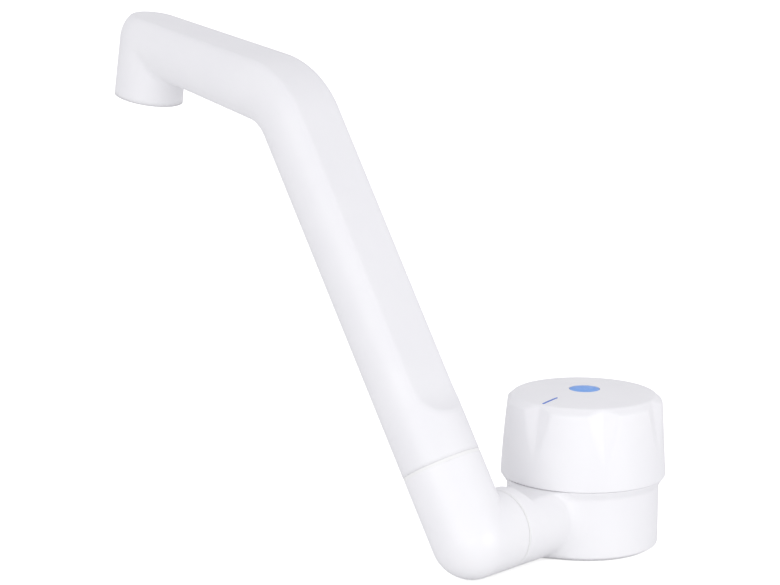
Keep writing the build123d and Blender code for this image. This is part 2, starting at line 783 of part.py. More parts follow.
with BuildPart() as spout_orings:
    for distance in spout_ring_starts:
        with BuildSketch(riser_plane(distance)):
            annulus(spigot_radius + film, spigot_radius + film - ring_depth)
        extrude(amount=ring_width)
    chamfer(spout_orings.edges().filter_by(GeomType.CIRCLE), length=ring_edge)

spout_orings.part.label = "spout_orings"
export_step(spout_orings.part, "parts/spout_orings.step")

with BuildPart() as spout_snap_ring:
    with BuildSketch(riser_plane(spout_snap)):
        part_ring(spigot_radius + snap_depth, spigot_radius + film - snap_depth,
                  snap_opening / 2, 360 - snap_opening)
    extrude(amount=snap_width)

spout_snap_ring.part.label = "spout_snap_ring"
export_step(spout_snap_ring.part, "parts/spout_snap_ring.step")

# Spout: one hollow moulding with a spigot at its foot, a straight riser, a bend and a tapering
# arm that ends in the outlet. A flat runs up its back, round the bend and along the arm's top.
riser_side = Plane(origin=elbow_centre, x_dir=riser_axis, z_dir=(0, 1, 0))
arm_side = Plane(origin=bend_corner, x_dir=arm_axis, z_dir=(0, 1, 0))
bend_axis = Axis(bend_pivot, (0, -1, 0))
arm_start = bend_tangent
taper = (spout_flat - tip_flat) / (crown_distance - arm_start)
beyond = crown_distance + spout_radius

crease_point = bend_corner + arm_axis * (arm_length - outlet_mouth_radius) - arm_normal * arm_tip_radius

with BuildPart() as spout_tube:
    with BuildSketch(riser_plane(seam_height)):
        Circle(spout_radius)
    extrude(amount=bend_start - seam_height)
    chamfer(spout_tube.faces().sort_by(Axis(elbow_centre, riser_axis))[0].edges(),
            length=spout_edge_chamfer)
    with BuildSketch(riser_plane(bend_start)):
        Circle(spout_radius)
    revolve(axis=bend_axis, revolution_arc=bend_turn)
    with BuildSketch(arm_plane(arm_start)):
        Circle(spout_radius)
    with BuildSketch(arm_plane(crown_distance)):
        Circle(arm_tip_radius)
    loft()
    with Locations(arm_plane(crown_distance).origin):
        Sphere(arm_tip_radius)
    with BuildSketch(outlet_plane(0)):
        Circle(outlet_mouth_radius)
    with BuildSketch(outlet_plane(outlet_drop)):
        with Locations((outlet_shift, 0)):
            Circle(arm_tip_radius)
    loft()
    with BuildSketch(riser_side):
        with Locations((flat_start, spout_flat + flat_runout_radius)):
            Circle(flat_runout_radius)
        with Locations((flat_start, spout_flat)):
            Rectangle(bend_start - flat_start, spout_radius, align=(Align.MIN, Align.MIN))
    extrude(amount=spout_radius, both=True, mode=Mode.SUBTRACT)
    with BuildSketch(riser_plane(bend_start)):
        with Locations((spout_flat, 0)):
            Rectangle(spout_radius, 2 * spout_radius, align=(Align.MIN, Align.CENTER))
    revolve(axis=bend_axis, revolution_arc=bend_turn, mode=Mode.SUBTRACT)
    with BuildSketch(arm_side):
        with BuildLine():
            Polyline((arm_start, spout_flat), (arm_start, 2 * spout_radius),
                     (beyond, 2 * spout_radius), (beyond, spout_flat - taper * (beyond - arm_start)),
                     close=True)
        make_face()
    extrude(amount=2 * spout_radius, both=True, mode=Mode.SUBTRACT)
    fillet(spout_tube.edges().filter_by(GeomType.BSPLINE).sort_by_distance(crease_point)[0],
           radius=crease_round)
    fillet(spout_tube.edges().filter_by(GeomType.LINE).sort_by(SortBy.LENGTH)[-1],
           radius=flat_edge_round)
    with BuildSketch(riser_plane(spigot_foot)):
        Circle(spigot_radius)
    extrude(amount=seam_height - spigot_foot)
    with BuildSketch(riser_plane(spigot_foot)):
        Circle(spout_spigot_bore)
    extrude(amount=spout_bore_start - spigot_foot, mode=Mode.SUBTRACT)
    with BuildSketch(riser_plane(spout_bore_start)):
        flatted_circle(bore_radius, bore_flat)
    extrude(amount=bend_start - spout_bore_start, mode=Mode.SUBTRACT)
    with BuildSketch(riser_plane(bend_start)):
        flatted_circle(bore_radius, bore_flat)
    revolve(axis=bend_axis, revolution_arc=bend_turn, mode=Mode.SUBTRACT)
    with BuildSketch(arm_plane(arm_start)):
        flatted_circle(bore_radius, bore_flat)
    with BuildSketch(arm_plane(arm_length)):
        flatted_circle(tip_bore_radius, tip_bore_flat)
    loft(mode=Mode.SUBTRACT)
    with BuildSketch(outlet_plane(0)):
        Circle(outlet_bore)
    extrude(amount=outlet_drop, mode=Mode.SUBTRACT)
    with BuildSketch(outlet_plane(0)):
        Circle(outlet_recess_radius)
    extrude(amount=outlet_recess_depth, mode=Mode.SUBTRACT)
    for distance in spout_ring_starts:
        with BuildSketch(riser_plane(distance - ring_margin)):
            annulus(spigot_radius + film, spigot_radius - ring_depth)
        extrude(amount=ring_width + 2 * ring_margin, mode=Mode.SUBTRACT)
    with BuildSketch(riser_plane(spout_snap)):
        annulus(spigot_radius + film, spigot_radius - snap_depth)
    extrude(amount=snap_width, mode=Mode.SUBTRACT)

spout_tube.part.label = "spout_tube"
export_step(spout_tube.part, "parts/spout_tube.step")

# Straightener in the outlet: a ring crossed by thin vanes, screwed up against the mesh.
straightener_top = straightener_inset + straightener_height
mesh_top = straightener_top + mesh_thickness
with BuildPart() as outlet_straightener:
    with BuildSketch(outlet_plane(straightener_inset)):
        Circle(outlet_recess_radius - running)
    extrude(amount=straightener_height)
    with BuildSketch(outlet_plane(straightener_inset)):
        Circle(outlet_recess_radius - straightener_wall)
        with GridLocations(vane_pitch, 0, vanes, 1):
            Rectangle(vane_thickness, 2 * outlet_recess_radius, mode=Mode.SUBTRACT)
        with GridLocations(0, vane_pitch, 1, vanes):
            Rectangle(2 * outlet_recess_radius, vane_thickness, mode=Mode.SUBTRACT)
    extrude(amount=straightener_height, mode=Mode.SUBTRACT)

outlet_straightener.part.label = "outlet_straightener"
export_step(outlet_straightener.part, "parts/outlet_straightener.step")

with BuildPart() as outlet_mesh:
    with BuildSketch(outlet_plane(straightener_top)):
        Circle(outlet_recess_radius - running)
        Circle(mesh_hole_radius, mode=Mode.SUBTRACT)
        for ring in range(1, mesh_rings + 1):
            with PolarLocations(ring * mesh_pitch, 6 * ring):
                Circle(mesh_hole_radius, mode=Mode.SUBTRACT)
    extrude(amount=mesh_thickness)

outlet_mesh.part.label = "outlet_mesh"
export_step(outlet_mesh.part, "parts/outlet_mesh.step")

with BuildPart() as outlet_gasket:
    with BuildSketch(outlet_plane(mesh_top)):
        annulus(outlet_recess_radius - running, outlet_bore)
    extrude(amount=outlet_recess_depth - mesh_top)

outlet_gasket.part.label = "outlet_gasket"
export_step(outlet_gasket.part, "parts/outlet_gasket.step")
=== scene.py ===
from math import cos, hypot, pi, radians, sin, sqrt, tan

import bmesh
import bpy
from mathutils import Matrix, Vector


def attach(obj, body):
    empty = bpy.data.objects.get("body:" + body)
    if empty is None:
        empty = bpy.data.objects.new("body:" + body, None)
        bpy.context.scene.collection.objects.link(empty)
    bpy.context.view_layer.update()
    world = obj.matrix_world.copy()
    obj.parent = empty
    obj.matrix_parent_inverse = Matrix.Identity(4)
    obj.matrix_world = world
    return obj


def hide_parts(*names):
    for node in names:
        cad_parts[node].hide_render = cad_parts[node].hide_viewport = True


# Cold water tap, put together from the worktop up: body, valve, knob, elbow, spout and outlet.
# Lengths are in millimetres here and are turned into metres where a mesh is made.
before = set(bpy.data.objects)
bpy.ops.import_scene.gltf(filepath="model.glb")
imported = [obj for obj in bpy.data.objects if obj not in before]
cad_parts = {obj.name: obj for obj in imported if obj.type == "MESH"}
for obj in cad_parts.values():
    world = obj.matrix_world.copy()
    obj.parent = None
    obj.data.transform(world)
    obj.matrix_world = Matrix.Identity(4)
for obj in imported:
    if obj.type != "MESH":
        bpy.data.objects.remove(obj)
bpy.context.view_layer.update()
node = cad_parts
MM = 0.001

# Body
# One hollow moulding in glossy white plastic: a round foot that flares to a brim under the knob, with
# the neck at its side. It stands on the worktop and is held down by the brass bush in its foot.


def start_finish(name, colour, roughness, metallic=0.0):
    """A new finish, its shader, and the object's own coordinates that its patterns hang on."""
    finish = bpy.data.materials.new(name)
    finish.use_nodes = True
    tree = finish.node_tree
    shader = tree.nodes["Principled BSDF"]
    shader.inputs["Base Color"].default_value = (*colour, 1)
    shader.inputs["Roughness"].default_value = roughness
    shader.inputs["Metallic"].default_value = metallic
    place = tree.nodes.new("ShaderNodeTexCoord")
    return finish, tree, shader, place.outputs["Object"]


def clouds(tree, place, size, detail=3.0):
    """Soft irregular spots about this many millimetres across."""
    noise = tree.nodes.new("ShaderNodeTexNoise")
    noise.inputs["Scale"].default_value = 1 / (size * MM)
    noise.inputs["Detail"].default_value = detail
    tree.links.new(place, noise.inputs["Vector"])
    return noise.outputs["Fac"]


def vary_colour(tree, shader, pattern, dark, light):
    """Lets the colour wander between two shades."""
    ramp = tree.nodes.new("ShaderNodeValToRGB")
    for stop, position, shade in zip(ramp.color_ramp.elements, (0.32, 0.68), (dark, light)):
        stop.position = position
        stop.color = (*shade, 1)
    tree.links.new(pattern, ramp.inputs["Fac"])
    tree.links.new(ramp.outputs["Color"], shader.inputs["Base Color"])


def vary_polish(tree, shader, pattern, low, high):
    """Lets the roughness wander between two values."""
    span = tree.nodes.new("ShaderNodeMapRange")
    for socket, value in (("From Min", 0.3), ("From Max", 0.7), ("To Min", low), ("To Max", high)):
        span.inputs[socket].default_value = value
    tree.links.new(pattern, span.inputs["Value"])
    tree.links.new(span.outputs["Result"], shader.inputs["Roughness"])


def relief(tree, shader, pattern, height, below=None):
    """Raises the surface by up to this many millimetres where the pattern is light."""
    bump = tree.nodes.new("ShaderNodeBump")
    bump.inputs["Distance"].default_value = height * MM
    tree.links.new(pattern, bump.inputs["Height"])
    if below:
        tree.links.new(below, bump.inputs["Normal"])
    tree.links.new(bump.outputs["Normal"], shader.inputs["Normal"])
    return bump.outputs["Normal"]


def mould_white(name, colour, dark, light, edge_round=None):
    """Glossy white plastic with faint changes of shade and polish, and the mould's soft ripple."""
    finish, tree, shader, place = start_finish(name, colour, 0.36)
    vary_colour(tree, shader, clouds(tree, place, 16.0), dark, light)
    vary_polish(tree, shader, clouds(tree, place, 5.0), 0.32, 0.42)
    below = None
    if edge_round:
        soft_edge = tree.nodes.new("ShaderNodeBevel")
        soft_edge.samples = 8
        soft_edge.inputs["Radius"].default_value = edge_round * MM
        below = soft_edge.outputs["Normal"]
    ripple = relief(tree, shader, clouds(tree, place, 11.0, 1.0), 0.012, below)
    relief(tree, shader, clouds(tree, place, 0.5, 2.0), 0.0012, ripple)
    return finish


white_plastic = mould_white("white_plastic", (0.86, 0.86, 0.88), (0.855, 0.853, 0.872), (0.872, 0.87, 0.884))

foot_radius = 22.5
foot_inset = 1.9
foot_slope = 1.1
brim_radius = 24.2
brim_foot = 18.7
body_top = 21.2
water_radius = 17.5
water_floor = 3.0
boss_radius = 12.8
boss_top = 9.5
bush_hole = 10.48
flange_hole = 11.95
gasket_inner = 14.35
gasket_outer = 18.95
recess_depth = 1.5


def round_off(corners, step=1.0):
    """Closed profile through (radius, height, rounding) corners, in steps of a millimetre or less."""
    path = []
    for index, (radius, height, ease) in enumerate(corners):
        corner = Vector((radius, height))
        arc = [corner]
        if ease:
            back = Vector(corners[index - 1][:2]) - corner
            on = Vector(corners[(index + 1) % len(corners)][:2]) - corner
            reach = ease / tan(back.angle(on) / 2)
            arc = [corner + back.normalized() * reach * (1 - part / 6) ** 2
                   + on.normalized() * reach * (part / 6) ** 2 for part in range(7)]
        if path:
            start = path[-1]
            pieces = int((arc[0] - start).length / step) + 1
            path += [start.lerp(arc[0], part / pieces) for part in range(1, pieces)]
        path += arc
    return path


def join_rings(shape, rings):
    """Fills the bands between rings of points that follow one another."""
    for first, second in zip(rings, rings[1:]):
        for column in range(len(first)):
            around = (column + 1) % len(first)
            corners = list(dict.fromkeys((first[column], second[column], second[around], first[around])))
            if len(corners) > 2:
                shape.faces.new(corners)


def spin(shape, path, columns=192, cut=None):
    """Turns a closed profile of (radius, height) points round the upright axis."""
    rings = []
    for radius, height in path:
        ring = []
        if radius < 1e-6:
            ring = [shape.verts.new((0, 0, height * MM))] * columns
        for column in range(columns - len(ring)):
            angle = 2 * pi * column / columns - pi / 2
            reach = cut(radius, height, angle) if cut else radius
            ring.append(shape.verts.new((reach * cos(angle) * MM, reach * sin(angle) * MM, height * MM)))
        rings.append(ring)
    join_rings(shape, rings + rings[:1])


pedestal = bmesh.new()
spin(pedestal, round_off([
    (foot_radius - foot_inset, 0, 0.2), (foot_radius, foot_slope, 0.8), (foot_radius, brim_foot, 2.0),
    (brim_radius, body_top, 0.25), (water_radius, body_top, 0.15), (water_radius, water_floor, 0.4),
    (boss_radius, water_floor, 0.4), (boss_radius, boss_top, 0.2), (bush_hole, boss_top, 0.2),
    (bush_hole, recess_depth, 0), (flange_hole, recess_depth, 0), (flange_hole, 0, 0.2),
    (gasket_inner, 0, 0.2), (gasket_inner, recess_depth, 0), (gasket_outer, recess_depth, 0),
    (gasket_outer, 0, 0.2)]))

neck_radius = 11.7
neck_height = 12.1
neck_seam = 39.8
neck_root = 20.0
neck_ease = 3.0
neck_flat = 21.22
flat_ease = 0.9
flat_start = 27.6
flat_end = 31.8
neck_step = 35.0
step_width = 1.4
collar_start = 35.9
neck_columns = 144
nipple_bore = 6.99
nipple_bore_start = 27.1
collar_bore = 8.75
collar_depth = 2.5


def body_reach(height):
    """Radius of the body's outside at a height."""
    flare = max(0.0, height - brim_foot) / (body_top - brim_foot)
    slope = max(0.0, 1 - height / foot_slope)
    return foot_radius + (brim_radius - foot_radius) * min(flare, 1) - foot_inset * min(slope, 1)


def neck_point(around, radius, distance, on_body=False):
    """Point of the neck's outside, which is cut flat under the knob up to its step."""
    x = radius * cos(around)
    z = max(neck_height + radius * sin(around), 0.05)
    if on_body:
        distance += sqrt(body_reach(min(z, body_top)) ** 2 - x ** 2)
    above = max(0.0, min(1.0, (hypot(x, distance) - neck_step) / step_width + 0.5))
    too_high = z - neck_flat
    z -= (too_high + hypot(too_high, flat_ease)) / 2 * (1 - above * above * (3 - 2 * above))
    return x * MM, -distance * MM, z * MM


def neck_ring(radius, distance, on_body=False, round_step=False):
    """Ring of points round the neck, square to it or following the round step under the knob."""
    ring = []
    for column in range(neck_columns):
        around = 2 * pi * column / neck_columns
        along = distance + (sqrt(neck_step ** 2 - (radius * cos(around)) ** 2) if round_step else 0)
        ring.append(neck_point(around, radius, along, on_body))
    return ring


neck = bmesh.new()
rings = []
for share in (-0.3, 0, 0.03, 0.07, 0.13, 0.2, 0.3, 0.4, 0.52, 0.65, 0.8, 1):
    swell = neck_ease - sqrt(neck_ease ** 2 - (neck_ease * min(1, 1 - share)) ** 2)
    rings.append(neck_ring(neck_radius + swell, neck_ease * share, on_body=True))
for start, end, round_step in ((flat_start, flat_end, False), (-step_width / 2, step_width / 2 + 0.02, True),
                               (collar_start, neck_seam - 0.2, False)):
    rings += [neck_ring(neck_radius, start + (end - start) * share / 6, round_step=round_step)
              for share in range(7)]
rings += [neck_ring(radius, distance) for radius, distance in (
    (neck_radius - 0.02, neck_seam - 0.1), (neck_radius - 0.07, neck_seam - 0.03),
    (neck_radius - 0.15, neck_seam), (collar_bore, neck_seam), (collar_bore, neck_seam - collar_depth),
    (nipple_bore, neck_seam - collar_depth), (nipple_bore, nipple_bore_start))]
rings = [[neck.verts.new(point) for point in ring] for ring in rings]
root, bore_end = (neck.verts.new((0, -distance * MM, neck_height * MM))
                  for distance in (neck_root, nipple_bore_start))
join_rings(neck, [[root] * neck_columns] + rings + [[bore_end] * neck_columns])

channel_radius = 5.5
channel_start = 12.0
channel_end = 27.3
neck_turn = Matrix.Translation((0, 0, neck_height * MM)) @ Matrix.Rotation(pi / 2, 4, "X")
channel = bmesh.new()
spin(channel, [(0, channel_start), (channel_radius, channel_start), (channel_radius, channel_end),
               (0, channel_end)], 96)
bmesh.ops.transform(channel, matrix=neck_turn, verts=channel.verts)


def combine(first, second, action):
    """Joins a second closed shape to the first, or cuts it out, and gives back one clean shape."""
    solids = []
    for shape in (first, second):
        bmesh.ops.recalc_face_normals(shape, faces=shape.faces)
        mesh = bpy.data.meshes.new("part")
        shape.to_mesh(mesh)
        shape.free()
        solids.append(bpy.data.objects.new("part", mesh))
        bpy.context.scene.collection.objects.link(solids[-1])
    meeting = solids[0].modifiers.new("meeting", "BOOLEAN")
    meeting.operation = action
    meeting.solver = "MANIFOLD"
    meeting.object = solids[1]
    done = bmesh.new()
    done.from_object(solids[0], bpy.context.evaluated_depsgraph_get())
    for solid in solids:
        mesh = solid.data
        bpy.data.objects.remove(solid)
        bpy.data.meshes.remove(mesh)
    return done


def make_piece(name, shape, finish, slot, body, *stands_for, crisp=32, turn=None):
    """Makes a piece with smooth faces and crisp edges, set on its body in place of CAD nodes."""
    if turn:
        bmesh.ops.transform(shape, matrix=turn, verts=shape.verts)
    bmesh.ops.recalc_face_normals(shape, faces=shape.faces)
    mesh = bpy.data.meshes.new(name)
    shape.to_mesh(mesh)
    shape.free()
    mesh.materials.append(finish)
    mesh.shade_smooth()
    mesh.set_sharp_from_angle(angle=radians(crisp))
    piece = bpy.data.objects.new(name, mesh)
    bpy.context.scene.collection.objects.link(piece)
    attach(piece, body)
    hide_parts(*stands_for)


shape = combine(combine(pedestal, neck, "UNION"), channel, "DIFFERENCE")
make_piece("white_body", shape, white_plastic, "white_plastic", "base", "tap_body")

# Base gasket
# A flat ring of black rubber pressed into a groove in the underside, so that water on the worktop
# can't run in under the tap. Three fine lips on it take up a worktop that isn't quite flat.
gasket_start = 14.5
gasket_width = 4.3
gasket_face = 0.12
lip_middle = 0.07
lip_height = 0.06
lips = 3

black_rubber, tree, shader, place = start_finish("black_rubber", (0.022, 0.022, 0.023), 0.6)
vary_colour(tree, shader, clouds(tree, place, 2.0), (0.018, 0.018, 0.019), (0.03, 0.03, 0.031))
vary_polish(tree, shader, clouds(tree, place, 0.8), 0.5, 0.72)
relief(tree, shader, clouds(tree, place, 0.25), 0.01)

shape = bmesh.new()
spin(shape, [(gasket_start, recess_depth), (gasket_start, gasket_face)]
     + [(gasket_start + gasket_width * step / (12 * lips), lip_middle + lip_height * cos(step * pi / 6))
        for step in range(1, 12 * lips)]
     + [(gasket_start + gasket_width, gasket_face), (gasket_start + gasket_width, recess_depth)])
make_piece("foot_gasket", shape, black_rubber, "black_rubber", "base", "base_gasket")

# Inlet bush
# A brass bush turned from bar and pushed up into the foot. The supply hose screws into its female
# thread from below, and its top is the valve's seat. A rubber ring seals it in the plastic.
thread_crest = 7.6
thread_depth = 0.75
thread_pitch = 1.337
thread_end = 8.0
seat_bore = 4.0
seat_radius = 7.0
seat_top = 11.5
shank_radius = 10.4
ring_groove = 9.2
ring_groove_start = 4.4
ring_groove_end = 6.6
flange_radius = 11.8
turned_edge = 0.2


def turning_lines(tree, place, pitch, direction):
    """Fine lines this many millimetres apart, as a turning tool leaves them."""
    wave = tree.nodes.new("ShaderNodeTexWave")
    wave.bands_direction = direction
    wave.inputs["Scale"].default_value = pi / (10 * pitch * MM)
    wave.inputs["Distortion"].default_value = 0.6
    wave.inputs["Detail"].default_value = 2.0
    tree.links.new(place, wave.inputs["Vector"])
    return wave.outputs["Fac"]


def turn_brass(name, direction):
    """Brass from the lathe, with its fine lines round the axis that it was turned on."""
    finish, tree, shader, place = start_finish(name, (0.74, 0.56, 0.29), 0.3, 1.0)
    vary_colour(tree, shader, clouds(tree, place, 3.0), (0.70, 0.52, 0.26), (0.78, 0.60, 0.33))
    vary_polish(tree, shader, clouds(tree, place, 1.2), 0.22, 0.38)
    relief(tree, shader, turning_lines(tree, place, 0.22, direction), 0.004)
    return finish


def cut_thread(radius, height, angle):
    """Runs the female thread round the bush's bore and fades it out at both ends."""
    if abs(radius - thread_crest) > 0.01:
        return radius
    along = (height / thread_pitch + angle / (2 * pi)) % 1
    fade = max(0.0, min(1.0, height / 0.7, (thread_end - 0.4 - height) / 0.5))
    return radius + thread_depth * (1 - abs(2 * along - 1)) * fade


turned_brass = turn_brass("turned_brass", "Z")
shape = bmesh.new()
bore = [(thread_crest, 0.01 + (thread_end - 0.02) * step / 64) for step in range(65)]
spin(shape, bore + [
    (seat_bore, thread_end), (seat_bore, seat_top - turned_edge), (seat_bore + turned_edge, seat_top),
    (seat_radius - turned_edge, seat_top), (seat_radius, seat_top - turned_edge), (seat_radius, boss_top),
    (shank_radius - turned_edge, boss_top), (shank_radius, boss_top - turned_edge),
    (shank_radius, ring_groove_end), (ring_groove, ring_groove_end), (ring_groove, ring_groove_start),
    (shank_radius, ring_groove_start), (shank_radius, recess_depth),
    (flange_radius - turned_edge, recess_depth), (flange_radius, recess_depth - turned_edge),
    (flange_radius, turned_edge), (flange_radius - turned_edge, 0)], 120, cut_thread)
make_piece("threaded_bush", shape, turned_brass, "turned_brass", "base", "inlet_bush", crisp=25)


def rubber_rings(name, stands_for, body, inner, outer, starts, width, turn=None):
    """Rubber rings of round section, squeezed a little oval in their grooves."""
    shape = bmesh.new()
    for start in starts:
        middle = (inner + outer) / 2
        spin(shape, [(middle + (outer - inner) / 2 * cos(step * pi / 10),
                      start + width / 2 + width / 2 * sin(step * pi / 10)) for step in range(20)], 96)
    make_piece(name, shape, black_rubber, "black_rubber", body, stands_for, turn=turn)


rubber_rings("bush_ring", "inlet_oring", "base", inner=9.24, outer=10.44, starts=[4.6], width=1.8)

# Bonnet
# A disc moulded in stiff plastic that screws into the body's top and shuts in the water. It carries
# the brass valve in its tower, and the raised arc on it stops the knob at both ends of its turn.
inner_plastic, tree, shader, place = start_finish("inner_plastic", (0.86, 0.86, 0.86), 0.48)
vary_colour(tree, shader, clouds(tree, place, 7.0), (0.85, 0.85, 0.845), (0.875, 0.875, 0.87))
vary_polish(tree, shader, clouds(tree, place, 2.0), 0.42, 0.56)
relief(tree, shader, clouds(tree, place, 0.35), 0.004)


def dress(finish, *names):
    """Gives CAD nodes whose shape is right their finish."""
    for name in names:
        node[name].data.materials.clear()
        node[name].data.materials.append(finish)


dress(inner_plastic, "bonnet")
rubber_rings("bonnet_seal", "bonnet_oring", "base", inner=18.09, outer=19.81, starts=[body_top], width=1.2)

# Headwork
# The valve comes as one unit: a brass housing with a hexagon for the spanner, a rubber seal, and two
# lapped ceramic discs. The lower disc stands still in the housing's cage over the seat.
valve_ceramic, tree, shader, place = start_finish("valve_ceramic", (0.80, 0.79, 0.76), 0.16)
vary_colour(tree, shader, clouds(tree, place, 0.6), (0.78, 0.77, 0.74), (0.82, 0.81, 0.785))
vary_polish(tree, shader, clouds(tree, place, 2.5), 0.10, 0.24)
dress(turned_brass, "headwork_housing")
dress(black_rubber, "seat_seal")
dress(valve_ceramic, "fixed_disc")
rubber_rings("housing_ring", "housing_oring", "base", inner=10.46, outer=11.63, starts=[29.8], width=1.2)

# Spindle
# A brass stem whose foot carries the turning disc and whose flatted head drives the knob. Two rubber
# rings and a plastic washer run on it, and a spring-steel ring keeps it from dropping.
spring_steel, tree, shader, place = start_finish("spring_steel", (0.60, 0.61, 0.62), 0.3, 1.0)
vary_colour(tree, shader, clouds(tree, place, 1.5), (0.56, 0.57, 0.58), (0.64, 0.65, 0.66))
vary_polish(tree, shader, clouds(tree, place, 0.6), 0.24, 0.4)
relief(tree, shader, clouds(tree, place, 0.15), 0.002)
dress(turned_brass, "spindle", "knob_insert")
dress(valve_ceramic, "turning_disc")
dress(inner_plastic, "spindle_washer")
dress(spring_steel, "spindle_circlip", "knob_screw")
rubber_rings("stem_rings", "spindle_orings", "turning_knob", inner=3.34, outer=4.54, starts=[22.58, 25.58],
             width=1.8)

# Knob
# A white moulding pressed onto the spindle: a slightly flared skirt, a low domed crown, and seven
# shallow V-shaped grip grooves. Webs inside carry the hub, and a finger meets the bonnet's arc.
knob_bottom = 21.3
rim_radius = 24.45
shoulder_radius = 23.1
shoulder_height = 43.5
crown_radius = 20.9
crown_height = 45.4
crown_centre = 46.65
crown_edge_start = 19.4
wall_middle = 22.0
wall_foot = 21.6
wall_lean = 0.04
skirt_inside = 21.75
roof_inside = 19.1
grooves = 7
groove_radius = 21.3
groove_reach = 18.0
groove_foot = 22.5
groove_lean = 0.17
groove_spread = 5.0
groove_crest = 0.35
valley_round = 0.011
cap_hole = 4.58
cap_seat = 45.45
screw_hole = 1.8
screw_seat = 43.6
screw_head_hole = 3.75
hub_radius = 7.6
hub_bottom = 35.95
socket_radius = 5.54
socket_top = 42.1
web_inner = 7.2
web_outer = 20.9
web_top = 42.8
finger_inner = 16.0
finger_bottom = 24.6


def hexagon(radius, height, angle):
    """Six-sided socket in the hub, and everything else left as it is."""
    if abs(radius - socket_radius) > 0.01 or height > socket_top + 0.1:
        return radius
    return radius / cos((angle + pi / 6) % (pi / 3) - pi / 6)


def grip_groove(radius, height, angle):
    """Draws the outside in to the walls of the nearest groove, with soft crests."""
    inside = height < web_top + 0.2 and radius < wall_middle - (height - wall_foot) * wall_lean
    if inside or radius < groove_reach or height < groove_foot:
        return hexagon(radius, height, angle)
    turn = (angle + pi / 2) % (2 * pi / grooves)
    off = min(turn, 2 * pi / grooves - turn)
    valley = groove_radius + (crown_height - height) * groove_lean
    wall = valley / (cos(off) - (hypot(sin(off), valley_round) - valley_round) / groove_spread)
    blend = max(groove_crest - abs(radius - wall), 0) / groove_crest
    return min(radius, wall) - blend * blend * groove_crest / 4


def dome(radius):
    """Height of the crown at a distance from the axis."""
    return crown_centre - (crown_centre - crown_height) * (radius / crown_radius) ** 2


def add_web(shape, angle, inner, outer, bottom, top, thickness=1.6):
    """Thin upright wall from one radius to another, its lower edges eased."""
    web = bmesh.ops.create_cube(shape, size=1)["verts"]
    bmesh.ops.scale(shape, vec=((outer - inner) * MM, thickness * MM, (top - bottom) * MM), verts=web)
    bmesh.ops.translate(shape, vec=((outer + inner) / 2 * MM, 0, (top + bottom) / 2 * MM), verts=web)
    bmesh.ops.rotate(shape, cent=(0, 0, 0), matrix=Matrix.Rotation(angle, 3, "Z"), verts=web)
    low = [edge for edge in {edge for vert in web for edge in vert.link_edges}
           if all(vert.co.z < (bottom + 0.01) * MM for vert in edge.verts)]
    bmesh.ops.bevel(shape, geom=low, offset=0.3 * MM, segments=3, profile=0.5, affect="EDGES")


shape = bmesh.new()
crown = [cap_hole + (crown_edge_start - cap_hole) * step / 10 for step in range(10)]
side = round_off([(crown_edge_start, dome(crown_edge_start), 0), (crown_radius, crown_height, 1.5),
                  (shoulder_radius, shoulder_height, 1.6), (rim_radius, knob_bottom, 0.35),
                  (skirt_inside, knob_bottom, 0.3), (roof_inside, web_top, 0.6), (hub_radius, web_top, 0.6),
                  (hub_radius, hub_bottom, 0.2), (socket_radius, hub_bottom, 0),
                  (socket_radius, socket_top, 0), (screw_hole, socket_top, 0), (screw_hole, screw_seat, 0),
                  (screw_head_hole, screw_seat, 0), (screw_head_hole, cap_seat, 0),
                  (cap_hole, cap_seat, 0)], 0.6)
spin(shape, [(radius, dome(radius)) for radius in crown] + side, 64 * grooves, grip_groove)
for groove in range(grooves):
    middle = -pi / 2 + (groove + 0.5) * 2 * pi / grooves
    add_web(shape, middle, web_inner, web_outer, hub_bottom, web_top + 0.2)
add_web(shape, pi / 2, finger_inner, web_outer, finger_bottom, web_top + 0.2)
make_piece("white_knob", shape, white_plastic, "white_plastic", "turning_knob", "knob", crisp=40)

# Blue cap and index bar
# A small blue cap snaps into the crown over the screw and marks cold water. A fine blue bar let into
# the crown points at the front groove and shows where the knob stands.
cap_radius = 4.5
cap_edge = 46.62
cap_blue, tree, shader, place = start_finish("cap_blue", (0.13, 0.36, 0.87), 0.38)
vary_colour(tree, shader, clouds(tree, place, 2.5), (0.115, 0.33, 0.84), (0.15, 0.39, 0.90))
vary_polish(tree, shader, clouds(tree, place, 0.8), 0.32, 0.44)
relief(tree, shader, clouds(tree, place, 0.3), 0.002)

shape = bmesh.new()
spin(shape, round_off([(0, cap_seat, 0), (cap_radius, cap_seat, 0), (cap_radius, cap_edge, 0.35)], 0.4)
     + [(3.0, 46.72), (2.0, 46.76), (1.0, 46.785), (0, 46.79)], 96)
make_piece("cold_cap", shape, cap_blue, "cap_blue", "turning_knob", "blue_cap")

bar_inner = 13.2
bar_outer = 20.7
bar_half = 0.42
bar_depth = 0.45
bar_steps = 24
crown_fall_start = 19.6
crown_fall = 0.22
mark_blue, tree, shader, place = start_finish("mark_blue", (0.05, 0.16, 0.62), 0.4)
vary_colour(tree, shader, clouds(tree, place, 1.2), (0.04, 0.14, 0.56), (0.07, 0.19, 0.68))
vary_polish(tree, shader, clouds(tree, place, 0.5), 0.34, 0.48)

shape = bmesh.new()
rings = []
for step in range(bar_steps + 1):
    distance = bar_inner + (bar_outer - bar_inner) * step / bar_steps
    from_end = min(distance - bar_inner, bar_outer - distance)
    half = bar_half * sqrt(max(0.05, 1 - max(0.0, 1 - from_end / bar_half) ** 2))
    crown = dome(distance) - crown_fall * max(0.0, distance - crown_fall_start) ** 2
    section = [(-half, -bar_depth), (-half, 0.01), (-half * 0.7, 0.055), (0, 0.065), (half * 0.7, 0.055),
               (half, 0.01), (half, -bar_depth)]
    rings.append([shape.verts.new((x * MM, -distance * MM, (crown + rise) * MM)) for x, rise in section])
join_rings(shape, rings)
for end in (rings[0], rings[-1]):
    shape.faces.new(end)
make_piece("index_bar", shape, mark_blue, "mark_blue", "turning_knob", "index_mark", crisp=60)

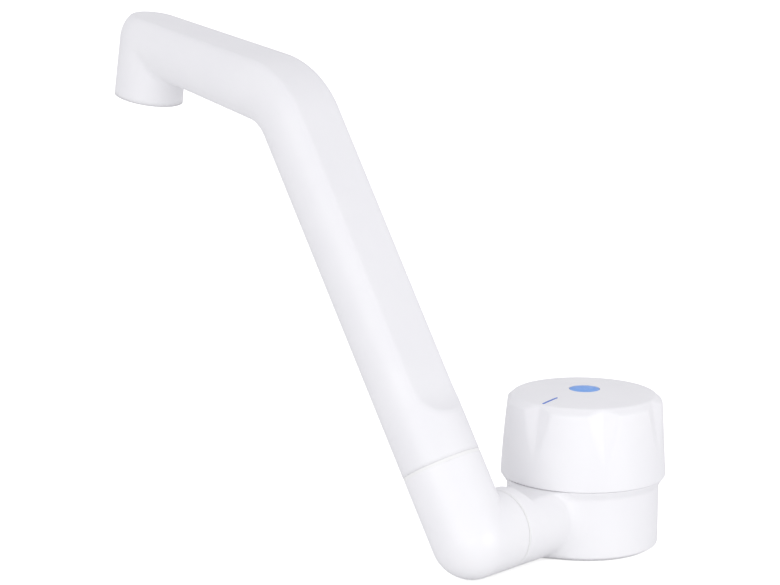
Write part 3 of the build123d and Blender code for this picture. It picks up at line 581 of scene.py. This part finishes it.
# Neck joint
# A brass nipple pressed into the neck is the pin on which the elbow turns. Rubber rings seal it, a
# spring ring holds the elbow on, and a pale washer shows as a fine line between neck and elbow.
neck_brass = turn_brass("neck_brass", "Y")
dress(neck_brass, "neck_nipple")
dress(spring_steel, "neck_snap_ring")
shape = bmesh.new()
spin(shape, [(radius, neck_seam + distance) for radius, distance in (
    (8.8, 0), (11.56, 0), (11.65, 0.05), (11.67, 0.3), (11.66, 0.58), (11.5, 0.47), (11.3, 0.42),
    (8.8, 0.4))], 120)
make_piece("neck_seam_ring", shape, inner_plastic, "inner_plastic", "base", "neck_washer", turn=neck_turn)
rubber_rings("neck_rings", "neck_orings", "base", inner=6.96, outer=8.16, starts=[43.65, 46.25], width=1.8,
             turn=neck_turn)

# Elbow
# A hollow white moulding with a ball corner. It turns on the nipple, so that the whole spout folds
# down, and its upper socket takes the spout with a plastic thrust washer between them.
elbow_seam = 22.0
elbow_reach = 52.2
riser_axis = Vector((-0.5, 0, sqrt(3) / 2))
riser_turn = (Matrix.Translation((0, -elbow_reach * MM, neck_height * MM))
              @ riser_axis.to_track_quat("Z", "Y").to_matrix().to_4x4())
dress(white_plastic, "elbow")
shape = bmesh.new()
spin(shape, [(radius, elbow_seam + height) for radius, height in (
    (9.3, 0), (11.3, 0.01), (11.45, -0.01), (11.56, -0.07), (11.65, -0.16), (11.67, 0.3), (11.65, 0.8),
    (11.4, 0.57), (11.1, 0.42), (9.3, 0.4))], 120)
make_piece("spout_seam_ring", shape, inner_plastic, "inner_plastic", "folding_elbow", "spout_washer",
           turn=riser_turn)

# Spout
# One long hollow moulding in white plastic that leans out, bends and tapers to the outlet. A flat runs
# up its back and along the arm, and its spigot swivels in the elbow on rubber rings.
# The spout's white is set a little darker than the body's: painted shade, which tones down the light on the
# spout and its outlet.
white_spout = mould_white("white_spout", (0.84, 0.84, 0.86), (0.832, 0.83, 0.85), (0.85, 0.848, 0.864),
                          edge_round=2.6)
dress(white_spout, "spout_tube")
dress(spring_steel, "spout_snap_ring")
rubber_rings("spout_rings", "spout_orings", "spout", inner=7.76, outer=8.96, starts=[13.6, 16.2], width=1.8,
             turn=riser_turn)

# Outlet
# The water leaves through a fine steel mesh held up by a ring of thin plastic vanes, which make it
# fall in one clear stream. A rubber gasket sits on the mesh.
outlet_plastic, tree, shader, place = start_finish("outlet_plastic", (0.66, 0.66, 0.66), 0.5)
vary_colour(tree, shader, clouds(tree, place, 4.0), (0.63, 0.63, 0.63), (0.69, 0.69, 0.69))
vary_polish(tree, shader, clouds(tree, place, 1.0), 0.42, 0.58)
dress(black_rubber, "outlet_gasket")
dress(spring_steel, "outlet_mesh")
dress(outlet_plastic, "outlet_straightener")

# Floor and studio
# A plain white floor under three soft panels low at the front and the right, with an even glow all
# round. Only the camera sees the white of the room beyond.
floor_half = 6
floor_level = -0.0002
floor_shape = bmesh.new()
floor_shape.faces.new([floor_shape.verts.new((x * floor_half, y * floor_half, floor_level))
                       for x, y in ((-1, -1), (1, -1), (1, 1), (-1, 1))])
floor_mesh = bpy.data.meshes.new("floor")
floor_shape.to_mesh(floor_mesh)
floor_shape.free()
floor = bpy.data.objects.new("floor", floor_mesh)
bpy.context.scene.collection.objects.link(floor)


def only_for_camera(tree, unseen, seen):
    """Shows the camera one shader, and gives the light's other rays another."""
    rays = tree.nodes.new("ShaderNodeLightPath")
    choose = tree.nodes.new("ShaderNodeMixShader")
    tree.links.new(rays.outputs["Is Camera Ray"], choose.inputs["Fac"])
    tree.links.new(unseen, choose.inputs[1])
    tree.links.new(seen, choose.inputs[2])
    return choose.outputs["Shader"]


def glow(tree, kind, colour, strength):
    """Even light of one colour, from a surface or from the world."""
    light = tree.nodes.new(kind)
    light.inputs["Color"].default_value = (*colour, 1)
    light.inputs["Strength"].default_value = strength
    return light.outputs[0]


white_floor = bpy.data.materials.new("white_floor")
white_floor.use_nodes = True
sheet = white_floor.node_tree
matt = sheet.nodes["Principled BSDF"]
matt.inputs["Base Color"].default_value = (0.88, 0.88, 0.88, 1)
matt.inputs["Roughness"].default_value = 0.9
both = sheet.nodes.new("ShaderNodeAddShader")
sheet.links.new(only_for_camera(sheet, glow(sheet, "ShaderNodeEmission", (1, 1, 1), 0.0),
                                glow(sheet, "ShaderNodeEmission", (1, 1, 1), 0.68)), both.inputs[0])
sheet.links.new(matt.outputs["BSDF"], both.inputs[1])
sheet.links.new(both.outputs["Shader"], sheet.nodes["Material Output"].inputs["Surface"])
floor_mesh.materials.append(white_floor)

world = bpy.data.worlds.new("studio")
world.use_nodes = True
bpy.context.scene.world = world
studio = world.node_tree
studio.nodes.remove(studio.nodes["Background"])
studio.links.new(only_for_camera(studio, glow(studio, "ShaderNodeBackground", (0.975, 0.97, 1.0), 0.865),
                                 glow(studio, "ShaderNodeBackground", (1, 1, 1), 1.0)),
                 studio.nodes["World Output"].inputs["Surface"])

tap_middle = (-0.01, -0.03, 0.05)
for name, place, size, power in (("left_panel", (0.10, -0.85, 0.12), 0.45, 0.95),
                                 ("front_panel", (0.28, -0.42, 0.08), 0.25, 0.25),
                                 ("right_panel", (0.60, -0.055, 0.08), 0.3, 0.75)):
    lamp = bpy.data.lights.new(name, "AREA")
    lamp.shape = "SQUARE"
    lamp.size = size
    lamp.energy = power
    panel = bpy.data.objects.new(name, lamp)
    panel.location = place
    panel.rotation_euler = (Vector(tap_middle) - Vector(place)).to_track_quat("-Z", "Y").to_euler()
    bpy.context.scene.collection.objects.link(panel)

# Camera
# It stands at the photograph's viewing angle, a little above the tap and to its front right.
lens = bpy.data.cameras.new("camera")
lens.lens = 124.3
lens.sensor_width = 36
camera = bpy.data.objects.new("camera", lens)
camera.location = (0.4605, -0.6251, 0.2246)
camera.rotation_euler = (radians(79.070), radians(-0.349), radians(40.693))
bpy.context.scene.collection.objects.link(camera)
bpy.context.scene.camera = camera
bpy.context.scene.view_settings.view_transform = "Standard"
